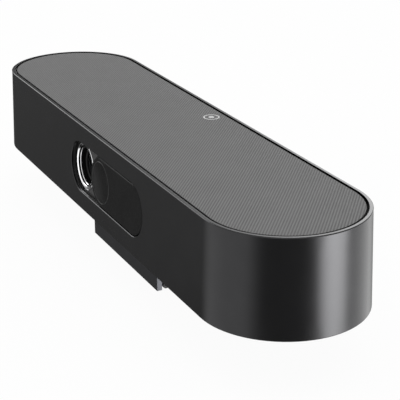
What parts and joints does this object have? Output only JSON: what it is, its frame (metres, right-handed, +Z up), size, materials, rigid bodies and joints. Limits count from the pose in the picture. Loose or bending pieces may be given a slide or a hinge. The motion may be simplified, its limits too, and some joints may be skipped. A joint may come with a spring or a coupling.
{
  "type": "conference camera",
  "caption": "Long video bar with rounded ends, a cloth grille on top, a lens behind a sliding shutter, and a folded display clip as its stand.",
  "frame": {"origin": "on the table under the middle of the bar, at the bottom of the folded clip", "axes": "+X along the bar, -Y is the front with the lens, +Z up"},
  "size_m": [0.343, 0.083, 0.075],
  "materials": {
    "dark_metal": "satin powder coat, slightly metallic",
    "cover_plastic": "fine spark texture",
    "carrier_plastic": "matt",
    "cloth": "tight diagonal weave, grey",
    "track_plastic": "matt",
    "shutter_plastic": "smooth satin",
    "bezel_chrome": "polished",
    "lens_black": "black anodised look",
    "lens_glass": "dark coated glass",
    "filter_glass": "tinted glass",
    "steel": "plain steel",
    "pcb": "green solder mask",
    "chip": "black epoxy",
    "flex": "amber polyimide",
    "aluminium": "extruded",
    "tin": "tinned sheet",
    "gasket": "foam rubber",
    "box_plastic": "matt",
    "basket_metal": "black",
    "magnet": "ferrite and steel",
    "cone": "pressed cone",
    "rubber": "matt",
    "lead": "insulated lead",
    "clip_metal": "satin grey",
    "brass": "turned brass"
  },
  "bodies": {
    "camera_body": {"main_housing": "dark_metal", "bottom_cover": "cover_plastic", "cover_screws": "steel", "grille_carrier": "carrier_plastic", "grille_cloth": "cloth", "shutter_track": "track_plastic", "track_screws": "steel", "lens_bezel": "bezel_chrome", "lens_retainer": "lens_black", "lens_front_glass": "lens_glass", "lens_barrel": "lens_black", "lens_rear_glass": "lens_glass", "lens_holder": "carrier_plastic", "holder_screws": "steel", "ir_filter": "filter_glass", "image_sensor": "chip", "sensor_board": "pcb", "sensor_board_screws": "steel", "sensor_heatsink": "aluminium", "sensor_flex": "flex", "main_board": "pcb", "board_parts": "chip", "processor_heatsink": "aluminium", "shield_can": "tin", "board_screws": "steel", "usb_receptacle": "tin", "audio_jack": "carrier_plastic", "port_bezel": "track_plastic", "mic_board": "pcb", "microphones": "tin", "mic_gaskets": "gasket", "mic_screws": "steel", "touch_board": "pcb", "speaker_box_left": "box_plastic", "speaker_box_right": "box_plastic", "speaker_basket_left": "basket_metal", "speaker_basket_right": "basket_metal", "speaker_magnet_left": "magnet", "speaker_magnet_right": "magnet", "speaker_cone_left": "cone", "speaker_cone_right": "cone", "speaker_surround_left": "rubber", "speaker_surround_right": "rubber", "speaker_screws": "steel", "speaker_leads": "lead", "clip_shoe": "clip_metal", "shoe_screws": "steel"},
    "shutter": {"privacy_shutter": "shutter_plastic", "shutter_spring": "steel"},
    "clip_saddle_body": {"clip_saddle": "clip_metal", "tilt_pin": "steel", "tilt_washers": "steel", "lip_pad": "rubber", "saddle_pad": "rubber", "leg_hinge_pin": "steel"},
    "clip_leg_body": {"clip_leg": "clip_metal", "leg_tip_pad": "rubber", "leg_foot_pad": "rubber", "tripod_insert": "brass"}
  },
  "joints": [
    {"name": "shutter_slide", "type": "slide", "parent": "camera_body", "child": "shutter", "axis": [-1, 0, 0], "range_m": [0, 0.0288]},
    {"name": "clip_tilt", "type": "hinge", "parent": "camera_body", "child": "clip_saddle_body", "pos_m": [0, 0, 0.0194], "axis": [1, 0, 0], "range_deg": [-15, 15]},
    {"name": "leg_fold", "type": "hinge", "parent": "clip_saddle_body", "child": "clip_leg_body", "pos_m": [0, 0.02, 0.0032], "axis": [1, 0, 0], "range_deg": [0, 120]}
  ]
}
